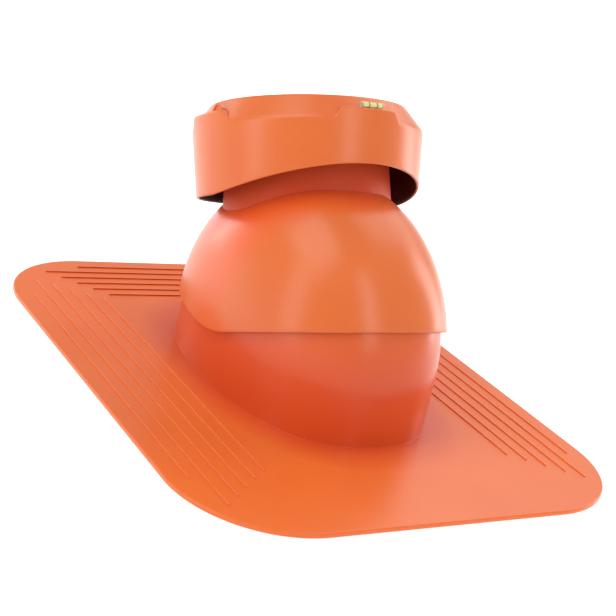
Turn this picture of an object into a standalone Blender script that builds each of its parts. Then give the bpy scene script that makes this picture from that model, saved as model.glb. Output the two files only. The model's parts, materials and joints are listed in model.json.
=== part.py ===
"""Roof vent pipe with a tilting dome.

A flat roof flange carries a fixed dome. A second dome turns over it about a level axis, so that
the vent pipe and its rain cap stand upright on roofs of different pitch. A bubble level on the
cap shows when they do. Metres, +Z up, the flange flat on the ground and its eave edge at -Y.
"""
import math

import bmesh
import bpy
from mathutils import Matrix, Vector

MM = 0.001

# Roof flange
FLANGE_WIDTH = 400 * MM
FLANGE_LENGTH = 490 * MM
FLANGE_THICKNESS = 3.5 * MM
FLANGE_CORNER = 90 * MM
FLANGE_EDGE_ROUND = 1.2 * MM

# Ribs on the flange: one set along the ridge edge and one along each side
RIB_COUNT = 6
RIB_PITCH = 12.9 * MM
RIB_INSET = 17.2 * MM
RIB_WIDTH = 1.5 * MM
RIB_CREST = 0.8 * MM
RIB_HEIGHT = 1.1 * MM
OUTER_RIB_END = 84.5 * MM
RIDGE_RIB_END = 47.6 * MM
RIDGE_RIB_STEP = 10.8 * MM
SIDE_TOP_END = 52 * MM
SIDE_TOP_STEP = 9.5 * MM
SIDE_TOP_OUTER = 87 * MM
SIDE_EAVE_END = 46 * MM
SIDE_EAVE_STEP = 10.6 * MM

# Domes: barrels turned about the tilt axis, which is parallel to X
AXIS_OVER_FLANGE = 39 * MM
DOME_HALF_LENGTH = 92 * MM
DOME_RADIUS = 132.5 * MM
DOME_POWER = 2.43
DOME_WALL = 3 * MM
DOME_GAP = 1.8 * MM
DOME_DRAFT = 1.2 * MM
DOME_FOOT_FLARE = 1.5 * MM
DOME_FOOT_HEIGHT = 2.5 * MM
ROOF_PITCH = math.radians(25)
PITCH_LOW = math.radians(5)
PITCH_HIGH = math.radians(30)
RIM_LAP = math.radians(8)
RIM_CORNER = 110 * MM

# Vent pipe, which widens a little downwards, and how far forward of the level rim's upright it leans
PIPE_TOP_RADIUS = 70.2 * MM
PIPE_SPREAD = 0.065
PIPE_WALL = 3 * MM
PIPE_RISE = 12.7 * MM
PIPE_FORWARD = math.radians(0.7)
SEAT_GAP = 0.3 * MM

# Rain cap: it reaches out past the pipe, its rim hangs under the top of the tilting dome, and it is
# turned a little on the pipe
CAP_REACH = 29.6 * MM
CAP_TAPER = 4.2 * MM
CAP_TURN = math.radians(-2)
CAP_SHOULDER_RUN = 15.3 * MM
CAP_WALL = 2.5 * MM
CAP_RIM_DROP = 23.7 * MM
CAP_RIM_FRONT_WAVE = 23.8 * MM
CAP_RIM_REAR_WAVE = 1.7 * MM
CAP_RIM_WAVE_POWER = 1.4
CAP_SHOULDER_RISE = 22.6 * MM
CAP_TOP_RISE = 20.4 * MM
CAP_CROWN = 2 * MM
TAB_RISE = 9.2 * MM
TAB_TOP_WIDTH = 50 * MM
TAB_FOOT_WIDTH = 63 * MM
FIN_COUNT = 6
FIN_THICKNESS = 2.4 * MM
FIN_REACH = 14 * MM
FIN_HOOK = 8 * MM

# Bubble level near the middle of the front tab, and a pointer near the end of each side tab
VIAL_OFFSET = 2.6 * MM
VIAL_RADIUS = 2.4 * MM
VIAL_LENGTH = 21.5 * MM
VIAL_END_ROUND = 0.8 * MM
POINTER_OFFSET = 18.2 * MM
POINTER_WIDTH = 13 * MM
POINTER_TOP_WIDTH = 2.8 * MM
POINTER_HEIGHT = 6 * MM
POINTER_EAVE = 1.2 * MM
POINTER_DEPTH = 2.6 * MM

# Roundness of the turned surfaces
BARREL_STEPS = 56
OUTLINE_STEPS = 26
PIPE_STEPS = 48
VIAL_STEPS = 20
ARC_STEPS = 8
WAVE_STEPS = 64
CROWN_SHARE = 0.75

# How far cutters run past what they cut, and how close points are welded
CUT_MARGIN = 20 * MM
CUT_CLEAR = 5 * MM
CUT_OFFSET = 0.1 * MM
WELD = 0.01 * MM
TURN_WELD = 0.05 * MM

TILT_CENTRE = Vector((0, 0, FLANGE_THICKNESS + AXIS_OVER_FLANGE))
HOOD_GROW = DOME_GAP + DOME_WALL
HOOD_LEAN = ROOF_PITCH - PIPE_FORWARD

# Heights above the tilt axis along the pipe, and the cap's radii
PIPE_START = DOME_RADIUS / 3
PIPE_TOP = DOME_RADIUS + HOOD_GROW + PIPE_RISE
CAP_RIM_LOW = DOME_RADIUS + HOOD_GROW - CAP_RIM_DROP
CAP_RIM_HIGH = CAP_RIM_LOW + CAP_RIM_FRONT_WAVE
CAP_SHOULDER_HEIGHT = PIPE_TOP + CAP_SHOULDER_RISE
CAP_TOP_HEIGHT = CAP_SHOULDER_HEIGHT + CAP_TOP_RISE
TAB_HEIGHT = CAP_SHOULDER_HEIGHT + TAB_RISE
CAP_SHOULDER_RADIUS = PIPE_TOP_RADIUS + CAP_REACH
CAP_RIM_RADIUS = CAP_SHOULDER_RADIUS - CAP_TAPER
CAP_TOP_RADIUS = CAP_SHOULDER_RADIUS - CAP_SHOULDER_RUN
FIN_INNER_RADIUS = PIPE_TOP_RADIUS - FIN_REACH


def clear_scene():
    for item in list(bpy.data.objects):
        bpy.data.objects.remove(item, do_unlink=True)


def new_collection(name):
    collection = bpy.data.collections.new(name)
    bpy.context.scene.collection.children.link(collection)
    return collection


def plastic(name, colour, roughness, transmission=0.0):
    """A plain moulded plastic: one colour, no metal."""
    material = bpy.data.materials.new(name)
    material.use_nodes = True
    shader = material.node_tree.nodes["Principled BSDF"]
    shader.inputs["Base Color"].default_value = (*colour, 1)
    shader.inputs["Roughness"].default_value = roughness
    shader.inputs["Metallic"].default_value = 0
    shader.inputs["Transmission Weight"].default_value = transmission
    material.diffuse_color = (*colour, 1)
    return material


def object_from(name, mesh_data, collection):
    """A named object from a bmesh, with its faces turned outwards."""
    bmesh.ops.recalc_face_normals(mesh_data, faces=mesh_data.faces)
    mesh = bpy.data.meshes.new(name)
    mesh_data.to_mesh(mesh)
    mesh_data.free()
    item = bpy.data.objects.new(name, mesh)
    collection.objects.link(item)
    return item


def outline_object(name, points, collection, closed):
    """A polyline as edges only, ready for a Screw modifier."""
    data = bmesh.new()
    corners = [data.verts.new(point) for point in points]
    for first, second in zip(corners, corners[1:]):
        data.edges.new((first, second))
    if closed:
        data.edges.new((corners[-1], corners[0]))
    mesh = bpy.data.meshes.new(name)
    data.to_mesh(mesh)
    data.free()
    item = bpy.data.objects.new(name, mesh)
    collection.objects.link(item)
    return item


def freeze(item, collection):
    """The object as its modifiers leave it, as a plain mesh with its faces outwards."""
    bpy.context.view_layer.update()
    evaluated = item.evaluated_get(bpy.context.evaluated_depsgraph_get())
    data = bmesh.new()
    data.from_mesh(bpy.data.meshes.new_from_object(evaluated))
    data.transform(item.matrix_world)
    name = item.name
    bpy.data.objects.remove(item, do_unlink=True)
    bmesh.ops.remove_doubles(data, verts=data.verts, dist=WELD)
    return object_from(name, data, collection)


def turned(name, points, axis, collection, steps, closed=False):
    """A full turn of a profile about the X or Z axis."""
    item = outline_object(name, points, collection, closed)
    screw = item.modifiers.new("turn", "SCREW")
    screw.axis = axis
    screw.angle = math.tau
    screw.steps = steps
    screw.render_steps = steps
    screw.use_merge_vertices = True
    screw.merge_threshold = TURN_WELD
    return freeze(item, collection)


def extruded(name, points, direction, collection):
    """A flat closed outline pushed along a direction."""
    data = bmesh.new()
    face = data.faces.new([data.verts.new(point) for point in points])
    pushed = bmesh.ops.extrude_face_region(data, geom=[face])["geom"]
    corners = [item for item in pushed if isinstance(item, bmesh.types.BMVert)]
    bmesh.ops.translate(data, verts=corners, vec=direction)
    return object_from(name, data, collection)


def boolean(item, other, operation, cutters):
    """Cut or join with another solid, which then counts as a hidden cutter."""
    modifier = item.modifiers.new(operation.lower(), "BOOLEAN")
    modifier.operation = operation
    modifier.solver = "EXACT"
    modifier.object = other
    other.hide_render = True
    other.display_type = "WIRE"
    for collection in list(other.users_collection):
        collection.objects.unlink(other)
    cutters.objects.link(other)


def barrel_outline(half_length, radius):
    """Radius over the tilt axis as a power curve: (x / a)^n + (r / b)^n = 1."""
    points = []
    for step in range(OUTLINE_STEPS + 1):
        angle = math.pi * step / OUTLINE_STEPS
        along = abs(math.cos(angle)) ** (2 / DOME_POWER) * half_length
        out = abs(math.sin(angle)) ** (2 / DOME_POWER) * radius
        if step in (0, OUTLINE_STEPS):
            out = 0
        points.append(Vector((-math.copysign(along, math.cos(angle)), out, 0)))
    return points


def barrel(name, half_length, radius, collection):
    """A closed barrel about the X axis through the tilt centre."""
    item = turned(name, barrel_outline(half_length, radius), "X", collection, BARREL_STEPS)
    item.data.transform(Matrix.Translation(TILT_CENTRE))
    return item


def hooded_block(name, half_length, radius, skirt, collection):
    """The upper half of a barrel on a skirt that drops from it: (drop, widening) pairs."""
    data = bmesh.new()
    line = [data.verts.new(point) for point in barrel_outline(half_length, radius)]
    edges = [data.edges.new(pair) for pair in zip(line, line[1:])]
    bmesh.ops.spin(data, geom=line + edges, cent=(0, 0, 0), axis=(1, 0, 0),
                   angle=math.pi, steps=BARREL_STEPS // 2, use_duplicate=False)
    bmesh.ops.remove_doubles(data, verts=data.verts, dist=WELD)
    level = 0
    width = 0
    for drop, widening in skirt:
        rim = [edge for edge in data.edges if edge.is_boundary]
        pushed = bmesh.ops.extrude_edge_only(data, edges=rim)["geom"]
        corners = [item for item in pushed if isinstance(item, bmesh.types.BMVert)]
        grow_x = (half_length + widening) / (half_length + width)
        grow_y = (radius + widening) / (radius + width)
        bmesh.ops.scale(data, verts=corners, vec=(grow_x, grow_y, 1))
        bmesh.ops.translate(data, verts=corners, vec=(0, 0, level - drop))
        level = drop
        width = widening
    bmesh.ops.holes_fill(data, edges=[edge for edge in data.edges if edge.is_boundary])
    bmesh.ops.translate(data, verts=data.verts, vec=TILT_CENTRE)
    return object_from(name, data, collection)


def flange_outline():
    """A rectangle with quarter-circle corners."""
    points = []
    for turn in range(4):
        start = turn * math.pi / 2
        centre = Vector((math.copysign(FLANGE_WIDTH / 2 - FLANGE_CORNER, math.cos(start + math.pi / 4)),
                         math.copysign(FLANGE_LENGTH / 2 - FLANGE_CORNER, math.sin(start + math.pi / 4)), 0))
        for step in range(ARC_STEPS + 1):
            angle = start + math.pi / 2 * step / ARC_STEPS
            points.append(centre + FLANGE_CORNER * Vector((math.cos(angle), math.sin(angle), 0)))
    return points


def rib_bar(start, end):
    """Eight corners of one rib: a bar with sloping sides, sunk a little into the flange."""
    along = (end - start).normalized()
    across = Vector((-along.y, along.x, 0))
    sunk = FLANGE_THICKNESS / 2
    low = FLANGE_THICKNESS - sunk
    top = FLANGE_THICKNESS + RIB_HEIGHT
    corners = []
    for point, sign in ((start, -1), (end, 1)):
        for side in (-1, 1):
            foot = point + sign * along * RIB_WIDTH / 2 + side * across * RIB_WIDTH / 2
            crest = point + side * across * RIB_CREST / 2
            corners.append((foot + Vector((0, 0, low)), crest + Vector((0, 0, top))))
    return corners


def rib_lines():
    """Start and end of every rib, worked out from the flange's edges."""
    half_x = FLANGE_WIDTH / 2
    half_y = FLANGE_LENGTH / 2
    lines = []
    for index in range(RIB_COUNT):
        inset = RIB_INSET + index * RIB_PITCH
        ridge_end = OUTER_RIB_END if index == 0 else RIDGE_RIB_END + (index - 1) * RIDGE_RIB_STEP
        side_top = SIDE_TOP_OUTER if index == 0 else SIDE_TOP_END + (index - 1) * SIDE_TOP_STEP
        side_low = OUTER_RIB_END if index == 0 else SIDE_EAVE_END + (index - 1) * SIDE_EAVE_STEP
        lines.append((Vector((ridge_end - half_x, half_y - inset, 0)),
                      Vector((half_x - ridge_end, half_y - inset, 0))))
        for side in (-1, 1):
            lines.append((Vector((side * (half_x - inset), side_low - half_y, 0)),
                          Vector((side * (half_x - inset), half_y - side_top, 0))))
    return lines


def ribs(cutters):
    """All the ribs as one mesh of separate bars."""
    data = bmesh.new()
    for start, end in rib_lines():
        (a, b), (c, d), (e, f), (g, h) = rib_bar(start, end)
        bmesh.ops.convex_hull(data, input=[data.verts.new(point) for point in (a, b, c, d, e, f, g, h)])
    return object_from("flange ribs", data, cutters)


def base_flashing(parts, cutters):
    """Flange, ribs and fixed dome as one moulding, open from below to the top of the dome."""
    flange = extruded("base_flashing", flange_outline(), (0, 0, FLANGE_THICKNESS), parts)
    edge = flange.modifiers.new("edge", "BEVEL")
    edge.width = FLANGE_EDGE_ROUND
    edge.segments = 1
    edge.limit_method = "ANGLE"
    foot = AXIS_OVER_FLANGE
    outer = hooded_block("fixed dome outside", DOME_HALF_LENGTH, DOME_RADIUS,
                         [(foot - DOME_FOOT_HEIGHT, DOME_DRAFT),
                          (foot + FLANGE_THICKNESS / 2, DOME_DRAFT + DOME_FOOT_FLARE)], cutters)
    inner = hooded_block("fixed dome inside", DOME_HALF_LENGTH - DOME_WALL, DOME_RADIUS - DOME_WALL,
                         [(foot + FLANGE_THICKNESS + CUT_MARGIN, DOME_DRAFT)], cutters)
    boolean(flange, outer, "UNION", cutters)
    boolean(flange, ribs(cutters), "UNION", cutters)
    boolean(flange, inner, "DIFFERENCE", cutters)
    boolean(flange, dome_opening(cutters), "DIFFERENCE", cutters)
    return flange


def dome_opening(cutters):
    """A slanted slice off the top of the fixed dome, which the tilting dome covers at every pitch."""
    rear = ROOF_PITCH - PITCH_LOW + RIM_LAP
    front = math.pi - PITCH_HIGH - RIM_LAP
    middle = (rear + front) / 2
    reach = DOME_RADIUS * math.cos((front - rear) / 2)
    side = 2 * (DOME_RADIUS + CUT_MARGIN)
    data = bmesh.new()
    bmesh.ops.create_cube(data, size=1)
    bmesh.ops.scale(data, verts=data.verts, vec=(side, side, side))
    bmesh.ops.translate(data, verts=data.verts, vec=(0, 0, reach + side / 2))
    data.transform(Matrix.Translation(TILT_CENTRE) @ Matrix.Rotation(middle - math.pi / 2, 4, "X"))
    return object_from("fixed dome opening", data, cutters)


def rim_cutter(cutters):
    """Everything under the tilting dome's rim: level in front, rising at the roof pitch behind.

    The rim is level with the roof at its pitch, so it turns back by what the pipe leans forward.
    """
    far = DOME_RADIUS + 2 * CUT_MARGIN
    wide = DOME_HALF_LENGTH + 2 * CUT_MARGIN
    start = RIM_CORNER * math.tan(ROOF_PITCH / 2)
    points = [Vector((-wide, -far, 0))]
    for step in range(ARC_STEPS + 1):
        turn = ROOF_PITCH * step / ARC_STEPS
        points.append(Vector((-wide, RIM_CORNER * math.sin(turn) - start, RIM_CORNER * (1 - math.cos(turn)))))
    points.append(Vector((-wide, far * math.cos(ROOF_PITCH), far * math.sin(ROOF_PITCH))))
    points.append(Vector((-wide, far, -far)))
    points.append(Vector((-wide, -far, -far)))
    cutter = extruded("tilting dome rim", points, (2 * wide, 0, 0), cutters)
    cutter.data.transform(Matrix.Translation(TILT_CENTRE) @ Matrix.Rotation(-PIPE_FORWARD, 4, "X"))
    return cutter


def pipe_radius(height):
    """Outer radius of the pipe at a height over the tilt axis."""
    return PIPE_TOP_RADIUS + (PIPE_TOP - height) * PIPE_SPREAD


def pipe_blank(name, grow, low, high, cutters):
    """A solid cone on the pipe's axis, the pipe's outside grown by an amount."""
    data = bmesh.new()
    bmesh.ops.create_cone(data, cap_ends=True, segments=PIPE_STEPS, radius1=pipe_radius(low) + grow,
                          radius2=pipe_radius(high) + grow, depth=high - low)
    bmesh.ops.translate(data, verts=data.verts, vec=TILT_CENTRE + Vector((0, 0, (low + high) / 2)))
    return object_from(name, data, cutters)


def tilting_dome(parts, cutters):
    """The upper dome: a barrel shell with its rim and the hole for the pipe."""
    dome = barrel("tilting_dome", DOME_HALF_LENGTH + HOOD_GROW, DOME_RADIUS + HOOD_GROW, parts)
    inside = barrel("tilting dome inside", DOME_HALF_LENGTH + DOME_GAP, DOME_RADIUS + DOME_GAP, cutters)
    boolean(dome, inside, "DIFFERENCE", cutters)
    boolean(dome, rim_cutter(cutters), "DIFFERENCE", cutters)
    hole = pipe_blank("pipe hole", SEAT_GAP, PIPE_START, DOME_RADIUS + CUT_MARGIN, cutters)
    boolean(dome, hole, "DIFFERENCE", cutters)
    return dome


def vent_pipe(parts, cutters):
    """A tube through the tilting dome, flush with its inside, that wedges in its hole as it widens."""
    pipe = pipe_blank("vent_pipe", 0, PIPE_START, PIPE_TOP, parts)
    flush = barrel("pipe foot trim", DOME_HALF_LENGTH + DOME_GAP, DOME_RADIUS + DOME_GAP, cutters)
    boolean(pipe, flush, "DIFFERENCE", cutters)
    bore = pipe_blank("pipe bore", -PIPE_WALL, PIPE_START - CUT_MARGIN, PIPE_TOP + CUT_MARGIN, cutters)
    boolean(pipe, bore, "DIFFERENCE", cutters)
    return pipe


def shoulder_radius(height):
    """Radius of the cap's sloping shoulder at a height over the tilt axis."""
    share = (height - CAP_SHOULDER_HEIGHT) / (CAP_TOP_HEIGHT - CAP_SHOULDER_HEIGHT)
    return CAP_SHOULDER_RADIUS + share * (CAP_TOP_RADIUS - CAP_SHOULDER_RADIUS)


def wall_radius(height):
    """Radius of the cap's outer wall, which widens a little towards the top."""
    share = (height - CAP_RIM_LOW) / (CAP_SHOULDER_HEIGHT - CAP_RIM_LOW)
    return CAP_RIM_RADIUS + share * (CAP_SHOULDER_RADIUS - CAP_RIM_RADIUS)


def cap_form(parts):
    """The cap's outer form as a solid, its wall carried up to the tabs' height all round."""
    low = CAP_RIM_LOW - CUT_CLEAR
    points = [Vector((0, 0, CAP_TOP_HEIGHT + CAP_CROWN)),
              Vector((CAP_TOP_RADIUS / 2, 0, CAP_TOP_HEIGHT + CAP_CROWN * CROWN_SHARE)),
              Vector((CAP_TOP_RADIUS, 0, CAP_TOP_HEIGHT)),
              Vector((shoulder_radius(TAB_HEIGHT), 0, TAB_HEIGHT)),
              Vector((wall_radius(TAB_HEIGHT), 0, TAB_HEIGHT)),
              Vector((wall_radius(low), 0, low)),
              Vector((0, 0, low))]
    form = turned("rain_cap", points, "Z", parts, PIPE_STEPS)
    form.data.transform(Matrix.Translation(TILT_CENTRE))
    return form


def cap_hollow(cutters):
    """The space inside the cap, a wall's thickness in from its outer form."""
    slope = math.atan2(CAP_SHOULDER_RADIUS - CAP_TOP_RADIUS, CAP_TOP_HEIGHT - CAP_SHOULDER_HEIGHT)
    top = CAP_TOP_HEIGHT - CAP_WALL
    shoulder = CAP_SHOULDER_HEIGHT - CAP_WALL * math.tan(slope / 2)
    low = CAP_RIM_LOW - CUT_MARGIN
    points = [Vector((0, 0, top + CAP_CROWN)),
              Vector((CAP_TOP_RADIUS / 2, 0, top + CAP_CROWN * CROWN_SHARE)),
              Vector((CAP_TOP_RADIUS - CAP_WALL * math.tan(math.pi / 4 - slope / 2), 0, top)),
              Vector((CAP_SHOULDER_RADIUS - CAP_WALL, 0, shoulder)),
              Vector((wall_radius(low) - CAP_WALL, 0, low)),
              Vector((0, 0, low))]
    hollow = turned("cap hollow", points, "Z", cutters, PIPE_STEPS)
    hollow.data.transform(Matrix.Translation(TILT_CENTRE))
    return hollow


def cap_windows(cutters):
    """A ring over the sloping shoulder with four bars left out of it, where the tabs stay."""
    out = CAP_SHOULDER_RADIUS + CUT_MARGIN
    run = (CAP_SHOULDER_RADIUS - CAP_TOP_RADIUS) / (CAP_TOP_HEIGHT - CAP_SHOULDER_HEIGHT)
    near = shoulder_radius(TAB_HEIGHT) + CUT_OFFSET
    over = TAB_HEIGHT + CUT_CLEAR
    points = [Vector((near, 0, over)), Vector((out, 0, over)),
              Vector((out, 0, TAB_HEIGHT - (out - near) / run)), Vector((near, 0, TAB_HEIGHT))]
    ring = turned("cap windows", points, "Z", cutters, PIPE_STEPS, closed=True)
    ring.data.transform(Matrix.Translation(TILT_CENTRE))
    data = bmesh.new()
    slope = (TAB_FOOT_WIDTH - TAB_TOP_WIDTH) / 2 / (TAB_HEIGHT - CAP_SHOULDER_HEIGHT)
    for turn in range(4):
        spin = Matrix.Rotation(turn * math.pi / 2, 4, "Z")
        corners = []
        for along in (CAP_TOP_RADIUS / 2, out + CUT_MARGIN):
            for height in (CAP_RIM_HIGH, over + CUT_CLEAR):
                half = TAB_TOP_WIDTH / 2 + slope * (TAB_HEIGHT - height)
                corners += [spin @ Vector((side * half, along, height)) for side in (-1, 1)]
        bmesh.ops.convex_hull(data, input=[data.verts.new(corner) for corner in corners])
    bars = object_from("tab bars", data, cutters)
    bars.data.transform(Matrix.Translation(TILT_CENTRE))
    boolean(ring, bars, "DIFFERENCE", cutters)
    return ring


def pointer(turn, cutters):
    """A small gabled lug that stands on a side tab, turned about the pipe's axis to near the tab's end."""
    out = CAP_SHOULDER_RADIUS - 2 * SEAT_GAP
    inner = out - POINTER_DEPTH - CAP_WALL
    half = POINTER_WIDTH / 2
    half_top = POINTER_TOP_WIDTH / 2
    outline = [(-half, -CAP_WALL / 2), (half, -CAP_WALL / 2), (half, POINTER_EAVE),
               (half_top, POINTER_HEIGHT), (-half_top, POINTER_HEIGHT), (-half, POINTER_EAVE)]
    angle = turn * math.pi / 2 + math.asin(POINTER_OFFSET / CAP_SHOULDER_RADIUS)
    points = [Vector((along, -inner, TAB_HEIGHT + up)) for along, up in outline]
    lug = extruded("pointer", points, Vector((0, inner - out, 0)), cutters)
    lug.data.transform(Matrix.Translation(TILT_CENTRE) @ Matrix.Rotation(angle, 4, "Z"))
    return lug


def cap_fins(cutters):
    """Fins inside the cap that rest on the pipe's top and hook a little way into it."""
    data = bmesh.new()
    seat = PIPE_TOP + SEAT_GAP
    hook = PIPE_TOP_RADIUS - PIPE_WALL - SEAT_GAP
    far = CAP_SHOULDER_RADIUS + CUT_MARGIN
    top = CAP_TOP_HEIGHT + CUT_MARGIN
    outline = [(FIN_INNER_RADIUS, seat - FIN_HOOK), (hook, seat - FIN_HOOK), (hook, seat),
               (far, seat), (far, top), (FIN_INNER_RADIUS, top)]
    for turn in range(FIN_COUNT):
        spin = Matrix.Rotation(math.tau * (turn + 0.5) / FIN_COUNT, 4, "Z")
        face = data.faces.new([data.verts.new(spin @ Vector((out, -FIN_THICKNESS / 2, up)))
                               for out, up in outline])
        pushed = bmesh.ops.extrude_face_region(data, geom=[face])["geom"]
        corners = [item for item in pushed if isinstance(item, bmesh.types.BMVert)]
        bmesh.ops.translate(data, verts=corners, vec=spin @ Vector((0, FIN_THICKNESS, 0)))
    fins = object_from("cap fins", data, cutters)
    fins.data.transform(Matrix.Translation(TILT_CENTRE))
    return fins


def rim_height(angle):
    """Height of the cap's rim: low at both sides, high in front and a little higher behind."""
    side = math.sin(angle + CAP_TURN)
    wave = CAP_RIM_FRONT_WAVE if side < 0 else CAP_RIM_REAR_WAVE
    return CAP_RIM_LOW + wave * abs(side) ** CAP_RIM_WAVE_POWER


def wave_cutter(cutters):
    """A ring under the cap's wall whose top follows the rim's wave."""
    near = CAP_RIM_RADIUS - CUT_MARGIN
    far = CAP_SHOULDER_RADIUS + CUT_MARGIN
    low = CAP_RIM_LOW - 3 * CUT_MARGIN
    data = bmesh.new()
    rings = []
    for step in range(WAVE_STEPS):
        angle = math.tau * step / WAVE_STEPS
        direction = Vector((math.cos(angle), math.sin(angle), 0))
        top = rim_height(angle)
        corners = [(near, low), (far, low), (far, top), (near, top)]
        rings.append([data.verts.new(direction * out + Vector((0, 0, height))) for out, height in corners])
    for first, second in zip(rings, rings[1:] + rings[:1]):
        for corner in range(4):
            after = (corner + 1) % 4
            data.faces.new((first[corner], first[after], second[after], second[corner]))
    bmesh.ops.triangulate(data, faces=data.faces)
    cutter = object_from("cap rim wave", data, cutters)
    cutter.data.transform(Matrix.Translation(TILT_CENTRE))
    return cutter


def rain_cap(parts, cutters):
    """The hood over the pipe: wall, shoulder, tabs, flat top and the fins that carry it."""
    cap = cap_form(parts)
    for turn in (1, 3):
        boolean(cap, pointer(turn, cutters), "UNION", cutters)
    hollow = cap_hollow(cutters)
    boolean(hollow, cap_fins(cutters), "DIFFERENCE", cutters)
    boolean(cap, hollow, "DIFFERENCE", cutters)
    boolean(cap, wave_cutter(cutters), "DIFFERENCE", cutters)
    boolean(cap, cap_windows(cutters), "DIFFERENCE", cutters)
    return cap


def level_vial(parts):
    """The bubble level: a short clear vial that lies across the front tab."""
    data = bmesh.new()
    bmesh.ops.create_cone(data, cap_ends=True, segments=VIAL_STEPS, radius1=VIAL_RADIUS, radius2=VIAL_RADIUS,
                          depth=VIAL_LENGTH)
    data.transform(Matrix.Rotation(math.pi / 2, 4, "Y"))
    out = CAP_SHOULDER_RADIUS - VIAL_RADIUS - SEAT_GAP
    up = TAB_HEIGHT + SEAT_GAP + VIAL_RADIUS
    bmesh.ops.translate(data, verts=data.verts, vec=TILT_CENTRE + Vector((VIAL_OFFSET, -out, up)))
    vial = object_from("level_vial", data, parts)
    ends = vial.modifiers.new("ends", "BEVEL")
    ends.width = VIAL_END_ROUND
    ends.segments = 2
    ends.limit_method = "ANGLE"
    ends.angle_limit = math.pi / 3
    return vial


def main():
    clear_scene()
    parts = new_collection("roof_vent_pipe")
    cutters = new_collection("cutters")
    terracotta = plastic("terracotta plastic", (0.78, 0.21, 0.07), 0.4)
    vial_green = plastic("vial green", (0.78, 0.85, 0.2), 0.1, transmission=0.6)

    base = base_flashing(parts, cutters)
    pivot = bpy.data.objects.new("tilt_pivot", None)
    parts.objects.link(pivot)
    pivot.location = TILT_CENTRE
    pivot.rotation_euler = (-HOOD_LEAN, 0, 0)
    upright = [tilting_dome(parts, cutters), vent_pipe(parts, cutters)]
    unturned = list(cutters.objects)
    upright += [rain_cap(parts, cutters), level_vial(parts)]
    for item in upright[2:] + [cutter for cutter in cutters.objects if cutter not in unturned]:
        item.data.transform(Matrix.Rotation(CAP_TURN, 4, "Z"))
    for item in upright + list(cutters.objects):
        if item.name.startswith(("fixed dome", "flange")):
            continue
        item.data.transform(Matrix.Translation(-TILT_CENTRE))
        item.parent = pivot
    for item in [base] + upright[:3]:
        item.data.materials.clear()
        item.data.materials.append(terracotta)
    upright[3].data.materials.clear()
    upright[3].data.materials.append(vial_green)


main()
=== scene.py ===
"""Looks of the roof vent pipe: satin terracotta plastic on a pale studio floor.

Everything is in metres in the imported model's frame: the flange flat on the floor, its eave edge at -Y
and its ridge edge at +Y. The hood's pieces are worked out in an upright frame. Its origin is on the
tilt axis, its third axis runs up the pipe, and lean() turns it back by nearly the roof pitch.
"""
import json
import math

import bmesh
import bpy
import numpy as np
from mathutils import Matrix, Vector


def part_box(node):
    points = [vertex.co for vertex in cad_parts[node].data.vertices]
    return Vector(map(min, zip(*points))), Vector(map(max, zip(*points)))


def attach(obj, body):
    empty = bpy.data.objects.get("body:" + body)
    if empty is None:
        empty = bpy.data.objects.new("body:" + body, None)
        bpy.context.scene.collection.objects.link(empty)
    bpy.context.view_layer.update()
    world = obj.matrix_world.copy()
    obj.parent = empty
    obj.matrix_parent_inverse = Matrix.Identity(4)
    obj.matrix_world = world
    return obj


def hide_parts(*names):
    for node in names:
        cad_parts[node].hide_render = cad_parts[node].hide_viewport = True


MM = 0.001

# Flange and ribs
FLANGE_THICKNESS = 3.5 * MM
FLANGE_CORNER = 90 * MM
FLANGE_EDGE_ROUND = 1.2 * MM
UNDER_EDGE_ROUND = 0.5 * MM
RIB_COUNT = 6
RIB_PITCH = 12.9 * MM
RIB_INSET = 17.2 * MM
RIB_WIDTH = 1.5 * MM
RIB_CREST = 1.1 * MM
RIB_HEIGHT = 1.1 * MM
RIB_ROUND = 0.25 * MM
RIB_SINK = 0.4 * MM
OUTER_RIB_END = 84.5 * MM
RIDGE_RIB_END = 47.6 * MM
RIDGE_RIB_STEP = 10.8 * MM
SIDE_TOP_END = 52 * MM
SIDE_TOP_STEP = 9.5 * MM
SIDE_TOP_OUTER = 87 * MM
SIDE_EAVE_END = 46 * MM
SIDE_EAVE_STEP = 10.6 * MM

# Domes, barrels about the tilt axis
DOME_HALF_LENGTH = 92 * MM
DOME_RADIUS = 132.5 * MM
DOME_POWER = 2.43
DOME_WALL = 3 * MM
DOME_GAP = 1.8 * MM
DOME_DRAFT = 1.2 * MM
DOME_FOOT_FILLET = 0.25 * MM
OPENING_ROUND = 0.8 * MM
ROOF_PITCH = math.radians(25)
PITCH_LOW = math.radians(5)
PITCH_HIGH = math.radians(30)
RIM_LAP = math.radians(8)
RIM_CORNER = 110 * MM
RIM_ROUND = 0.8 * MM
HOOD_GROW = DOME_GAP + DOME_WALL

# Vent pipe, which widens a little downwards and leans a little forward of the level rim's upright
PIPE_TOP_RADIUS = 70.2 * MM
PIPE_SPREAD = 0.065
PIPE_WALL = 3 * MM
PIPE_RISE = 12.7 * MM
PIPE_TOP = DOME_RADIUS + HOOD_GROW + PIPE_RISE
PIPE_FORWARD = math.radians(0.7)
PIPE_END_ROUND = 0.9 * MM
HOLE_ROUND = 0.6 * MM
HOOD_LEAN = ROOF_PITCH - PIPE_FORWARD
SEAT_GAP = 0.3 * MM

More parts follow.
